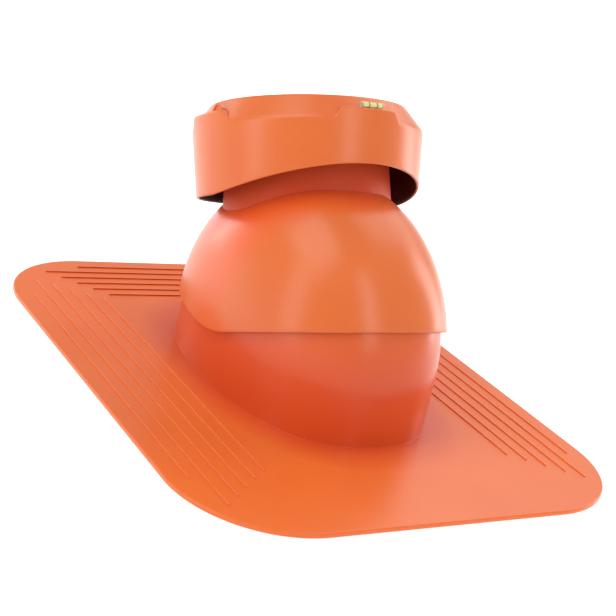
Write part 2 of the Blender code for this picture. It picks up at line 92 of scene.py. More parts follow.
# Rain cap, heights over the tilt axis along the pipe; it is turned a little on the pipe
CAP_TURN = math.radians(-2)
CAP_SHOULDER_RADIUS = PIPE_TOP_RADIUS + 29.6 * MM
CAP_RIM_RADIUS = CAP_SHOULDER_RADIUS - 4.2 * MM
CAP_TOP_RADIUS = CAP_SHOULDER_RADIUS - 15.3 * MM
CAP_WALL = 2.5 * MM
CAP_RIM_LOW = DOME_RADIUS + HOOD_GROW - 23.7 * MM
CAP_RIM_FRONT_WAVE = 23.8 * MM
CAP_RIM_REAR_WAVE = 1.7 * MM
CAP_RIM_WAVE_POWER = 1.4
CAP_SHOULDER_HEIGHT = PIPE_TOP + 22.6 * MM
CAP_TOP_HEIGHT = CAP_SHOULDER_HEIGHT + 20.4 * MM
CAP_CROWN = 2 * MM
CAP_EDGE_ROUND = 1.2 * MM
CAP_CORNER_ROUND = 2.4 * MM
CAP_RIM_ROUND = 0.8 * MM
TAB_HEIGHT = CAP_SHOULDER_HEIGHT + 9.2 * MM
TAB_TOP_WIDTH = 50 * MM
TAB_FOOT_WIDTH = 63 * MM
TAB_SIDE_ROUND = 0.8 * MM
FIN_COUNT = 6
FIN_THICKNESS = 2.4 * MM
FIN_REACH = 14 * MM
FIN_HOOK = 8 * MM
FIN_ROUND = 0.5 * MM
FIN_CENTRE_IN = 4 * MM
FIN_CENTRE_UP = 5 * MM

# Marks on the tabs
VIAL_OFFSET = 2.6 * MM
VIAL_RADIUS = 2.4 * MM
VIAL_LENGTH = 21.5 * MM
VIAL_END_ROUND = 0.8 * MM
VIAL_SKIN = 0.08 * MM
VIAL_BORE = 1.95 * MM
LIQUID_GAP = 0.5 * MM
LIQUID_ROUND = 0.6 * MM
BUBBLE_RADIUS = 1.2 * MM
BUBBLE_LENGTH = 6.4 * MM
BUBBLE_ROUND = 0.95 * BUBBLE_RADIUS
BUBBLE_LIFT = VIAL_BORE - BUBBLE_RADIUS + 0.05 * MM
RING_PLACE = 3.9 * MM
RING_WIDTH = 0.8 * MM
RING_SKIN = 0.02 * MM
RING_ROUND = 0.15 * MM
PLUG_LENGTH = 1.2 * MM
PLUG_INSET = 0.4 * MM
PLUG_ROUND = 0.3 * MM
POINTER_OFFSET = 18.2 * MM
POINTER_WIDTH = 13 * MM
POINTER_TOP_WIDTH = 2.8 * MM
POINTER_HEIGHT = 6 * MM
POINTER_EAVE = 1.2 * MM
POINTER_DEPTH = 2.6 * MM
POINTER_RECESS = 1.4 * MM
POINTER_ROWS = ((0, POINTER_RECESS), (0.4, POINTER_RECESS), (0.56, POINTER_RECESS),
                (0.62, 0.8 * POINTER_RECESS), (0.66, 0.3 * MM), (0.7, 0.06 * MM), (0.76, 0), (0.86, 0),
                (0.94, 0.1 * MM), (0.985, 0.35 * MM), (1, 0.8 * MM), (1, POINTER_DEPTH),
                (1, POINTER_DEPTH + CAP_WALL), (0, POINTER_DEPTH + CAP_WALL))

# Fineness of the surfaces: columns round a piece, rows down it, steps of a rounding, passes of a search
DOME_COLUMNS = 384
DOME_OUTER_ROWS = 36
DOME_FOOT_ROWS = 10
DOME_INNER_ROWS = 30
THROAT_ROWS = 8
HOOD_OUTER_ROWS = 44
HOOD_INNER_ROWS = 36
PIPE_COLUMNS = 256
PIPE_OUTER_ROWS = 16
PIPE_BORE_ROWS = 12
CAP_COLUMNS = 240
TAB_EDGE_COLUMNS = 7
TAB_SIDE_COLUMNS = 5
ANGLE_DIGITS = 5
CAP_EDGE_STEPS = 8
CAP_CORNER_STEPS = 7
CAP_SHOULDER_ROWS = 5
CAP_WALL_ROWS = 14
CAP_LINING_ROWS = 10
CAP_SLOPE_ROWS = 3
CAP_CEILING_ROWS = 7
VIAL_COLUMNS = 48
QUARTER_STEPS = 7
LIP_STEPS = 5
BAR_STEPS = 6
SLAB_STEPS = 4
FIN_SPACING = 3 * MM
POINTER_SPACING = 0.6 * MM
LEVEL_PASSES = 12
RIM_PASSES = 40
SEAT_PASSES = 8
MERGE_DISTANCE = 0.002 * MM
THIN_LENGTH = 0.0005 * MM

# Shares of the way along a surface: where rows stop before a rounding, and rows that crowd an edge
DOME_LIP_START = 0.97
HOOD_HOLE_SIDE = 0.02
HOOD_RIM_SIDE = 0.975
NEAR_EDGE = 0.98
FLANGE_TOP_SHARES = (0.01, *np.linspace(0.05, 0.95, 14), 0.99)
UNDERSIDE_SHARES = (0.01, *np.linspace(0.1, 1, 10))
RIB_SHARES = np.linspace(0.05, 0.95, 10)
DISH_SHARES = np.array([0, 0.2, 0.4, 0.6, 0.8, 0.9, 0.97])

# Plastic colours from 0 to 255, each a pair that a slow drift runs between
PLASTIC_COLOURS = ((211, 100, 42), (215, 105, 46))
# Painted light: the flange is a lighter, more orange copy of the plastic, for the brighter light it gets
FLANGE_LIT_COLOURS = ((223, 102, 37), (227, 107, 41))
SHADED_COLOURS = ((209, 75, 27), (213, 80, 30))
# Painted shade and painted red bounce light: a redder, deeper copy for the hood round the pipe, under the cap
COLLAR_SHADE_COLOURS = ((234, 82, 32), (238, 87, 35))
# Painted highlight: the ribs are a paler copy of the plastic, for the light along them
RIB_LIT_COLOURS = ((230, 114, 56), (234, 119, 60))
# Painted shade: a darker copy for the long faces of the ribs along the ridge
RIDGE_RIB_SHADE_COLOURS = ((176, 62, 28), (182, 67, 31))
# Painted shade: a deeper copy of the plastic for the pipe and the fins under the cap
PIPE_SHADE_COLOURS = ((200, 66, 30), (206, 71, 33))
# Painted shade: a nearly black copy for the lining of the cap's wall
LINING_SHADE_COLOURS = ((58, 20, 9), (64, 23, 11))

# Where one colour runs into the next: outline values, heights, radii, slopes and depths in the cap's wall
FOOT_SHADE_RUN = (1.05, 1.9)
DOME_SHADE_RUN = (50 * MM, 120 * MM)
COLLAR_SHADE_RUN = (76 * MM, 102 * MM)
RIB_FACE_RUN = (0.2, 0.6)
RIDGE_RUN = (0, 50 * MM)
LINING_WALL_RUN = (0.8 * CAP_WALL, 0.3 * CAP_WALL)
LINING_TOP_RUN = (CAP_WALL, CAP_WALL / 2)

# Finish of the plastic; a noise is its patches per metre and its detail
DRIFT_NOISE = (14, 3)
GLOSS_NOISE = (20, 2)
SKIN_NOISE = (900, 2)
SKIN_DEPTH = 0.003 * MM
NOISE_LOW = 0.3
NOISE_HIGH = 0.7
ROUGHNESS = (0.29, 0.31)
DULL_ROUGHNESS = (0.5, 0.55)
PLASTIC_INDEX = 1.47
DULL_INDEX = 1.3
SHEEN = 0.08
SHEEN_ROUGHNESS = 0.4
SHEEN_TINT = (255, 225, 200)

# Numbers of the Mix node's sockets for colours
MIX_COLOURS = (6, 7)
MIX_RESULT = 2

# Vial finishes: two colours, patches per metre of colour and of gloss, roughness, index, opacity
VIAL_FINISHES = {"vial tube": (((250, 250, 215), (245, 248, 200)), 300, 400, (0.04, 0.09), 1.49, 0.4),
                 "vial liquid": (((205, 205, 40), (225, 222, 70)), 160, 200, (0.08, 0.14), 1.36, 1),
                 "vial air": (((246, 244, 190), (252, 250, 215)), 200, 300, (0.05, 0.1), 1.5, 1),
                 "vial dark": (((58, 52, 22), (82, 74, 30)), 400, 500, (0.3, 0.45), 1.5, 1)}
VIAL_DETAIL = 2

# The photograph's camera, in the upright frame moved down to the flange's top face
CAMERA_TURN = math.radians(32.94)
CAMERA_RISE = math.radians(0.91)
CAMERA_PLACE = (-644.0 * MM, -1013.9 * MM, 37.3 * MM)
CAMERA_PITCH = math.radians(25.2)
PHOTO_SIDE = 616
PHOTO_FOCAL = 1371.7
SENSOR = 36
CAMERA_REACH = 200

# Studio: soft boxes by name, place right, up and forward of the aim as the camera sees it, size and watts
LIGHT_AIM = (0, 60 * MM, 130 * MM)
SOFT_BOXES = (("key", (1.0, 1.6, 0.8), (1.6, 1.6), 11),
              ("front box", (-0.45, 1.6, -1.0), (1.4, 1.4), 15),
              ("left box", (-1.45, 0.4, -1.35), (0.6, 1.8), 9),
              ("right box", (1.3, 0.4, -1.5), (0.5, 1.8), 9),
              ("left edge box", (-1.4, 0.9, 0.9), (0.4, 1.4), 7),
              ("right edge box", (1.5, 0.2, 0.7), (0.5, 1.6), 11))
SKY_RUN = (0.02, 0.3)
SKY_LOW = 1.1
SKY_HIGH = 0.48
FLOOR_HALF = 40
FLOOR_DROP = 0.2 * MM
FLOOR_COLOUR = (225, 225, 225)
FLOOR_ROUGHNESS = 0.9
FLOOR_GLOW_WAY = (0.544, 0.766, 0)
FLOOR_GLOW_RUN = (-0.3, 0.9)
FLOOR_GLOW_FRONT = 0.45
FLOOR_GLOW_BACK = 1.3

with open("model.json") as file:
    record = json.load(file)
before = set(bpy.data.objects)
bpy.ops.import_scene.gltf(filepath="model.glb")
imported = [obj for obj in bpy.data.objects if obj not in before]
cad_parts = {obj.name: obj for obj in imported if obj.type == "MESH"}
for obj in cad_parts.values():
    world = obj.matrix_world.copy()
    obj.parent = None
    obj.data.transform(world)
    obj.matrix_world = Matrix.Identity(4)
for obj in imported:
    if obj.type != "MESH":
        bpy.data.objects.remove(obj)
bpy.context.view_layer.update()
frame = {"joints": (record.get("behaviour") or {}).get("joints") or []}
AXIS_HEIGHT = frame["joints"][0]["pos_m"][2]
FOOT_DEPTH = AXIS_HEIGHT - FLANGE_THICKNESS
FLANGE_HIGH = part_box("base_flashing")[1]


def lean(points):
    """Upright frame to the model's frame: a turn of minus the lean about X, then up to the tilt axis."""
    x, y, z = np.moveaxis(points, -1, 0)
    back = y * math.cos(HOOD_LEAN) + z * math.sin(HOOD_LEAN)
    up = z * math.cos(HOOD_LEAN) - y * math.sin(HOOD_LEAN)
    return stack(x, back, up + AXIS_HEIGHT)


def stack(*values):
    """Coordinates, numbers or arrays, as one array of points."""
    return np.stack(np.broadcast_arrays(*values), axis=-1)


def unit(vectors):
    """Vectors divided by their lengths."""
    return vectors / np.linalg.norm(vectors, axis=-1, keepdims=True)


def add_object(name, data):
    """An object of a mesh, lamp or camera, put in the scene."""
    made = bpy.data.objects.new(name, data)
    bpy.context.scene.collection.objects.link(made)
    return made


def grid_piece(name, points, body, material, wrap=(True, True), sharp=40):
    """A piece from grids of points, with its poles merged and its faces turned outwards.

    The axes are grids, rows and columns; wrap says whether the rows and the columns close on themselves.
    """
    points = points.reshape((-1,) + points.shape[-3:])
    grids, rows, columns = points.shape[:3]
    index = np.arange(grids * rows * columns).reshape(grids, rows, columns)
    if wrap[0]:
        index = np.concatenate([index, index[:, :1]], axis=1)
    if wrap[1]:
        index = np.concatenate([index, index[:, :, :1]], axis=2)
    corners = [index[:, :-1, :-1], index[:, 1:, :-1], index[:, 1:, 1:], index[:, :-1, 1:]]
    mesh = bpy.data.meshes.new(name)
    mesh.from_pydata(points.reshape(-1, 3).tolist(), [], np.stack(corners, axis=-1).reshape(-1, 4).tolist())
    data = bmesh.new()
    data.from_mesh(mesh)
    bmesh.ops.remove_doubles(data, verts=data.verts, dist=MERGE_DISTANCE)
    bmesh.ops.dissolve_degenerate(data, edges=data.edges, dist=THIN_LENGTH)
    bmesh.ops.recalc_face_normals(data, faces=data.faces)
    data.to_mesh(mesh)
    data.free()
    mesh.shade_smooth()
    mesh.set_sharp_from_angle(angle=math.radians(sharp))
    mesh.materials.append(material)
    piece = add_object(name, mesh)
    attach(piece, body)
    return piece


def rounded_lip(outer, inner, outer_back, inner_back, size):
    """Rows round a wall's free edge, from its outer to its inner side.

    With a turn t from 0 to a right angle, the outer corner is outer + across * size * (1 - cos t)
    + outer_back * size * (1 - sin t), across being the way to the inner side. The inner corner mirrors it.
    """
    across = unit(inner - outer)
    turns = np.linspace(0, math.pi / 2, LIP_STEPS)
    first = [outer + size * (across * (1 - math.cos(t)) + outer_back * (1 - math.sin(t))) for t in turns]
    last = [inner + size * (inner_back * (1 - math.sin(t)) - across * (1 - math.cos(t))) for t in turns[::-1]]
    return first + last


def span(start, end, shares):
    """Rows on straight lines between two rows, at shares of the way."""
    return [start + (end - start) * share for share in shares]


def inside(count):
    """Evenly spaced shares between nought and one, both left out."""
    return np.linspace(0, 1, count + 2)[1:-1]


def signed_power(value, power):
    """sign(value) times |value| to a power."""
    return np.sign(value) * np.abs(value) ** power


def barrel_radius(x, grow):
    """Radius over the tilt axis at x of a dome grown by an amount, from (x / a)^n + (r / b)^n = 1."""
    share = np.clip(np.abs(x) / (DOME_HALF_LENGTH + grow), 0, 1)
    return (DOME_RADIUS + grow) * (1 - share ** DOME_POWER) ** (1 / DOME_POWER)


def on_barrel(plan, rise, grow):
    """Where rays from the tilt centre leave the grown dome.

    A ray has a plan direction and a rise: d = (cos plan cos rise, sin plan cos rise, sin rise). It is
    multiplied by ((dx / a)^n + (hypot(dy, dz) / b)^n)^(-1/n).
    """
    ray = stack(np.cos(plan) * np.cos(rise), np.sin(plan) * np.cos(rise), np.sin(rise))
    total = (np.abs(ray[..., 0]) / (DOME_HALF_LENGTH + grow)) ** DOME_POWER
    total = total + (np.hypot(ray[..., 1], ray[..., 2]) / (DOME_RADIUS + grow)) ** DOME_POWER
    return ray * total[..., None] ** (-1 / DOME_POWER)


def level_cut(angle, level, grow):
    """The fixed dome's outline at a level over the axis.

    x is the outline's half-length times cos^(2/n), and y = sqrt(barrel_radius(x)^2 - level^2).
    """
    share = level / (DOME_RADIUS + grow)
    half = (DOME_HALF_LENGTH + grow) * (1 - share ** DOME_POWER) ** (1 / DOME_POWER)
    x = half * signed_power(np.cos(angle), 2 / DOME_POWER)
    y = np.sqrt(np.maximum(barrel_radius(x, grow) ** 2 - level ** 2, 0))
    return x, np.copysign(y, np.sin(angle))


def foot_cut(angle, grow, height):
    """The dome's outline under the axis, the power curve (x / a)^n + (y / b)^n = 1, at a model height."""
    x = (DOME_HALF_LENGTH + grow) * signed_power(np.cos(angle), 2 / DOME_POWER)
    y = (DOME_RADIUS + grow) * signed_power(np.sin(angle), 2 / DOME_POWER)
    return stack(x, y, height)


def flange_outline(angle, inset, height):
    """A rectangle with quarter-circle corners, moved inwards by inset, at a model height.

    Each quarter is walked at an even pace from the middle of a long side to the middle of a short side:
    straight, arc, straight.
    """
    first = FLANGE_HIGH.y - FLANGE_CORNER
    arc = FLANGE_CORNER * math.pi / 2
    last = FLANGE_HIGH.x - FLANGE_CORNER
    walked = np.arccos(np.clip(np.abs(np.cos(angle)), 0, 1)) / (math.pi / 2) * (first + arc + last)
    turn = np.clip((walked - first) / FLANGE_CORNER, 0, math.pi / 2)
    corner = FLANGE_CORNER - inset
    x = last + corner * np.cos(turn) - np.clip(walked - first - arc, 0, last)
    y = np.clip(walked, 0, first) + corner * np.sin(turn)
    return stack(x * np.sign(np.cos(angle)), y * np.sign(np.sin(angle)), height)


def opening_level(angle, grow):
    """Height over the axis of the fixed dome's slanted opening, y cos(m) + z sin(m) = reach.

    y depends on z, so z is found by repeating the step.
    """
    rear = ROOF_PITCH - PITCH_LOW + RIM_LAP
    front = math.pi - PITCH_HIGH - RIM_LAP
    middle = (rear + front) / 2
    reach = DOME_RADIUS * math.cos((front - rear) / 2)
    level = np.full(angle.shape, reach)
    for _ in range(LEVEL_PASSES):
        level = (reach - level_cut(angle, level, grow)[1] * math.cos(middle)) / math.sin(middle)
    return level


def dome_level(angle, share, grow):
    """The fixed dome's row at a share of the way up from the axis to its opening."""
    level = share * opening_level(angle, grow)
    x, y = level_cut(angle, level, grow)
    return stack(x, y, level + AXIS_HEIGHT)


def flashing(material):
    """Flange and fixed dome as one closed ring of rows.

    The rows run down the dome's outside, over its foot's fillet and the flange's top, round the edge, back
    along the underside, up the inside and round the lip of the opening.
    """
    angle = np.linspace(0, math.tau, DOME_COLUMNS, endpoint=False)
    fillet = DOME_FOOT_FILLET
    quarter = np.linspace(0, math.pi / 2, QUARTER_STEPS)
    rows = [dome_level(angle, share, 0) for share in np.linspace(DOME_LIP_START, 0, DOME_OUTER_ROWS)]
    rows += [foot_cut(angle, DOME_DRAFT * share, AXIS_HEIGHT - (FOOT_DEPTH - fillet) * share)
             for share in np.linspace(0, 1, DOME_FOOT_ROWS)[1:]]
    rows += [foot_cut(angle, DOME_DRAFT + fillet * (1 - math.cos(turn)),
                      FLANGE_THICKNESS + fillet * (1 - math.sin(turn))) for turn in quarter[1:]]
    rows += span(rows[-1], flange_outline(angle, FLANGE_EDGE_ROUND, FLANGE_THICKNESS), FLANGE_TOP_SHARES)
    rows += [flange_outline(angle, FLANGE_EDGE_ROUND * (1 - math.sin(turn)),
                            FLANGE_THICKNESS - FLANGE_EDGE_ROUND * (1 - math.cos(turn))) for turn in quarter]
    rows += [flange_outline(angle, UNDER_EDGE_ROUND * (1 - math.cos(turn)),
                            UNDER_EDGE_ROUND * (1 - math.sin(turn))) for turn in quarter]
    rows += span(rows[-1], foot_cut(angle, DOME_DRAFT - DOME_WALL, 0), UNDERSIDE_SHARES)
    rows += [foot_cut(angle, DOME_DRAFT * share - DOME_WALL, AXIS_HEIGHT * (1 - share))
             for share in np.linspace(1, 0, THROAT_ROWS)[1:]]
    rows += [dome_level(angle, share, -DOME_WALL)
             for share in np.linspace(0, DOME_LIP_START, DOME_INNER_ROWS)[1:]]
    outer = dome_level(angle, 1, 0)
    inner = dome_level(angle, 1, -DOME_WALL)
    outer_back = unit(dome_level(angle, NEAR_EDGE, 0) - outer)
    inner_back = unit(dome_level(angle, NEAR_EDGE, -DOME_WALL) - inner)
    rows += rounded_lip(outer, inner, outer_back, inner_back, OPENING_ROUND)[::-1]
    piece = grid_piece("flashing", np.array(rows), "flashing", material)
    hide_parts("base_flashing")


def rib_lines():
    """Start and end of every rib, from the flange's edges."""
    half_x = FLANGE_HIGH.x
    half_y = FLANGE_HIGH.y
    lines = []
    for index in range(RIB_COUNT):
        inset = RIB_INSET + index * RIB_PITCH
        ridge_end = OUTER_RIB_END if index == 0 else RIDGE_RIB_END + (index - 1) * RIDGE_RIB_STEP
        side_top = SIDE_TOP_OUTER if index == 0 else SIDE_TOP_END + (index - 1) * SIDE_TOP_STEP
        side_low = OUTER_RIB_END if index == 0 else SIDE_EAVE_END + (index - 1) * SIDE_EAVE_STEP
        lines.append(((ridge_end - half_x, half_y - inset), (half_x - ridge_end, half_y - inset)))
        for side in (-1, 1):
            lines.append(((side * (half_x - inset), side_low - half_y),
                          (side * (half_x - inset), half_y - side_top)))
    return np.array(lines)


def ribs(material):
    """Rounded bars along the rib lines.

    The outline goes up one side, round both corners of the crest and down the other side. Near each end it
    is drawn in by a quarter circle, and it closes on a point in the middle of the end face.
    """
    lines = rib_lines()
    run = lines[:, 1] - lines[:, 0]
    along = unit(run)
    across = np.stack([-along[:, 1], along[:, 0]], axis=1)
    length = np.linalg.norm(run, axis=1) + RIB_WIDTH
    turn = np.linspace(0, math.pi / 2, LIP_STEPS)
    shift = np.concatenate([[0], RIB_ROUND * (1 - np.cos(turn))])
    inset = np.concatenate([[RIB_ROUND], RIB_ROUND * (1 - np.sin(turn))])
    still = np.zeros(len(RIB_SHARES))
    share = np.concatenate([0 * shift, RIB_SHARES, 0 * shift + 1])
    shift = np.concatenate([shift, still, -shift[::-1]])
    inset = np.concatenate([inset, still, inset[::-1]])[:, None]
    corner = RIB_ROUND - inset
    foot = RIB_WIDTH / 2 - inset
    side = np.concatenate([foot, foot, RIB_CREST / 2 - RIB_ROUND + corner * np.cos(turn)], axis=1)
    rise = np.concatenate([0 * inset - RIB_SINK, 0 * inset,
                           RIB_HEIGHT - RIB_ROUND + corner * np.sin(turn)], axis=1)
    wide = np.concatenate([side, -side[:, ::-1]], axis=1)
    high = np.concatenate([rise, rise[:, ::-1]], axis=1)
    wide[[0, -1]] = 0
    high[[0, -1]] = RIB_HEIGHT / 2
    place = share * length[:, None] - RIB_WIDTH / 2 + shift
    spot = lines[:, None, None, 0] + along[:, None, None] * place[:, :, None, None]
    spot = spot + across[:, None, None] * wide[None, :, :, None]
    points = stack(spot[..., 0], spot[..., 1], FLANGE_THICKNESS + high[None])
    grid_piece("flange_ribs", points, "flashing", material,
               wrap=(False, True), sharp=50)


def rim_height(t):
    """The tilting dome's rim over the tilt axis: level in front, an arc, then up at the roof pitch.

    It is level with the roof at its pitch, in a frame that turns back by what the pipe leans forward.
    """
    start = RIM_CORNER * math.tan(ROOF_PITCH / 2)
    end = RIM_CORNER * math.sin(ROOF_PITCH) - start
    walked = np.clip(t + start, 0, start + end)
    arc = RIM_CORNER - np.sqrt(RIM_CORNER ** 2 - walked ** 2)
    return arc + np.maximum(t - end, 0) * math.tan(ROOF_PITCH)


def rim_rise(plan, grow):
    """Rise of the rays that meet the grown dome on its rim, found by halving the range again and again."""
    low = np.zeros(plan.shape)
    high = np.full(plan.shape, math.pi / 2)
    for _ in range(RIM_PASSES):
        middle = (low + high) / 2
        point = on_barrel(plan, middle, grow)
        back = point[..., 1] * math.cos(PIPE_FORWARD) - point[..., 2] * math.sin(PIPE_FORWARD)
        up = point[..., 1] * math.sin(PIPE_FORWARD) + point[..., 2] * math.cos(PIPE_FORWARD)
        under = up < rim_height(back)
        low = np.where(under, middle, low)
        high = np.where(under, high, middle)
    return low


def saddle(angle, radius, grow):
    """Height at which a round bar of a radius about the pipe's axis meets the grown dome."""
    x = radius * np.cos(angle)
    y = radius * np.sin(angle)
    return np.sqrt(barrel_radius(x, grow) ** 2 - y ** 2)


def pipe_radius(height):
    """Outer radius of the pipe at a height over the tilt axis."""
    return PIPE_TOP_RADIUS + (PIPE_TOP - height) * PIPE_SPREAD


def pipe_meets(angle, out, grow):
    """Radius and height at which the pipe's side, moved outwards, meets the grown dome."""
    radius = np.full(angle.shape, pipe_radius(DOME_RADIUS) + out)
    for _ in range(SEAT_PASSES):
        height = saddle(angle, radius, grow)
        radius = pipe_radius(height) + out
    return radius, height


def tilting_dome(material):
    """The upper dome as one closed ring of rows.

    Each row's rays rise by a share of the way from the pipe hole to the rim. The rows run down the outside,
    round the rim's lip, up the inside and round the hole's lip.
    """
    plan = np.linspace(0, math.tau, DOME_COLUMNS, endpoint=False)

    def row(share, grow):
        """Where rays that rise by a share of the way leave the dome grown by an amount."""
        radius, height = pipe_meets(plan, SEAT_GAP, grow)
        top = np.arctan2(height, radius)
        return on_barrel(plan, top + (rim_rise(plan, grow) - top) * share, grow)

    outer = row(1, HOOD_GROW)
    inner = row(1, DOME_GAP)
    outer_back = unit(row(NEAR_EDGE, HOOD_GROW) - outer)
    inner_back = unit(row(NEAR_EDGE, DOME_GAP) - inner)
    rows = [row(share, HOOD_GROW) for share in np.linspace(HOOD_HOLE_SIDE, HOOD_RIM_SIDE, HOOD_OUTER_ROWS)]
    rows += rounded_lip(outer, inner, outer_back, inner_back, RIM_ROUND)
    rows += [row(share, DOME_GAP) for share in np.linspace(HOOD_RIM_SIDE, HOOD_HOLE_SIDE, HOOD_INNER_ROWS)]
    outer = row(0, HOOD_GROW)
    inner = row(0, DOME_GAP)
    outer_back = unit(row(HOOD_HOLE_SIDE, HOOD_GROW) - outer)
    inner_back = unit(row(HOOD_HOLE_SIDE, DOME_GAP) - inner)
    rows += rounded_lip(inner, outer, inner_back, outer_back, HOLE_ROUND)
    piece = grid_piece("tilting_hood", lean(np.array(rows)), "hood", material)
    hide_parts("tilting_dome")


def around(angle, rows, turn=0):
    """Rows of (radius, height) round the pipe's axis, turned about it and leaned with the hood."""
    profile = np.array([np.broadcast_to(row, (len(angle), 2)) for row in rows])
    radius = profile[..., 0]
    return lean(stack(radius * np.cos(angle + turn), radius * np.sin(angle + turn), profile[..., 1]))


def vent_pipe(material):
    """The tube as one closed ring of rows: round its top lip, down its outside and up its bore."""
    angle = np.linspace(0, math.tau, PIPE_COLUMNS, endpoint=False)
    wall_top = PIPE_TOP - 2 * PIPE_END_ROUND
    back = np.array([0.0, -1.0])
    rows = rounded_lip(stack(PIPE_TOP_RADIUS - PIPE_WALL, PIPE_TOP), stack(PIPE_TOP_RADIUS, PIPE_TOP),
                       back, back, PIPE_END_ROUND)
    foot = stack(*pipe_meets(angle, 0, DOME_GAP))
    bore_foot = stack(*pipe_meets(angle, -PIPE_WALL, DOME_GAP))
    bore_top = stack(pipe_radius(wall_top) - PIPE_WALL, wall_top)
    rows += span(stack(pipe_radius(wall_top), wall_top), foot, np.linspace(0, 1, PIPE_OUTER_ROWS))
    rows += span(bore_foot, bore_top, np.linspace(0, 1, PIPE_BORE_ROWS))
    piece = grid_piece("upright_pipe", around(angle, rows), "hood", material)
    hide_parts("vent_pipe")


def shoulder_radius(height):
    """Radius of the cap's sloping shoulder at a height over the tilt axis."""
    share = (height - CAP_SHOULDER_HEIGHT) / (CAP_TOP_HEIGHT - CAP_SHOULDER_HEIGHT)
    return CAP_SHOULDER_RADIUS + share * (CAP_TOP_RADIUS - CAP_SHOULDER_RADIUS)


def wall_radius(height):
    """Radius of the cap's outer wall, which widens a little towards the top."""
    share = (height - CAP_RIM_LOW) / (CAP_SHOULDER_HEIGHT - CAP_RIM_LOW)
    return CAP_RIM_RADIUS + share * (CAP_SHOULDER_RADIUS - CAP_RIM_RADIUS)


def soft_step(value, softness):
    """Nought, then value, joined by the parabola (value + softness)^2 / (4 softness)."""
    bend = (value + softness) ** 2 / (4 * softness)
    return np.where(value < -softness, 0, np.where(value > softness, value, bend))


def tab_height(angle):
    """Height of the cap's edge: the shoulder's, or a tab's near each quarter, with sloping sides.

    The distance from the tab's middle is the shoulder's radius times the sine of the angle from it.
    """
    turn = np.mod(angle + math.pi / 4, math.pi / 2) - math.pi / 4
    aside = CAP_SHOULDER_RADIUS * np.abs(np.sin(turn))
    run = (TAB_FOOT_WIDTH - TAB_TOP_WIDTH) / 2
    share = (aside - TAB_TOP_WIDTH / 2) / run
    softness = TAB_SIDE_ROUND / run
    fall = soft_step(share, softness) - soft_step(share - 1, softness)
    return TAB_HEIGHT - (TAB_HEIGHT - CAP_SHOULDER_HEIGHT) * fall


def cap_angles():
    """Evenly spaced columns, with more where the tabs' sides rise."""
    even = np.linspace(0, math.tau, CAP_COLUMNS, endpoint=False)
    near = np.linspace(-1, 1, TAB_EDGE_COLUMNS) * TAB_SIDE_ROUND
    aside = np.concatenate([TAB_TOP_WIDTH / 2 + near, TAB_FOOT_WIDTH / 2 + near,
                            np.linspace(TAB_TOP_WIDTH, TAB_FOOT_WIDTH, TAB_SIDE_COLUMNS)[1:-1] / 2])
    turn = np.arcsin(aside / CAP_SHOULDER_RADIUS)
    sides = np.concatenate([turn, -turn])
    extra = (sides[:, None] + math.pi / 2 * np.arange(4)).ravel()
    return np.unique(np.round(np.mod(np.concatenate([even, extra]), math.tau), ANGLE_DIGITS))


def rim_wave(angle):
    """Height of the cap's rim: low at both sides, high in front and a little higher behind."""
    side = np.sin(angle + CAP_TURN)
    wave = np.where(side < 0, CAP_RIM_FRONT_WAVE, CAP_RIM_REAR_WAVE)
    return CAP_RIM_LOW + wave * np.abs(side) ** CAP_RIM_WAVE_POWER


def blend(start, corner, end, steps):
    """Points on the curve that leaves start towards corner and reaches end from it, both ends included."""
    return [start * (1 - t) ** 2 + corner * 2 * t * (1 - t) + end * t ** 2 for t in np.linspace(0, 1, steps)]


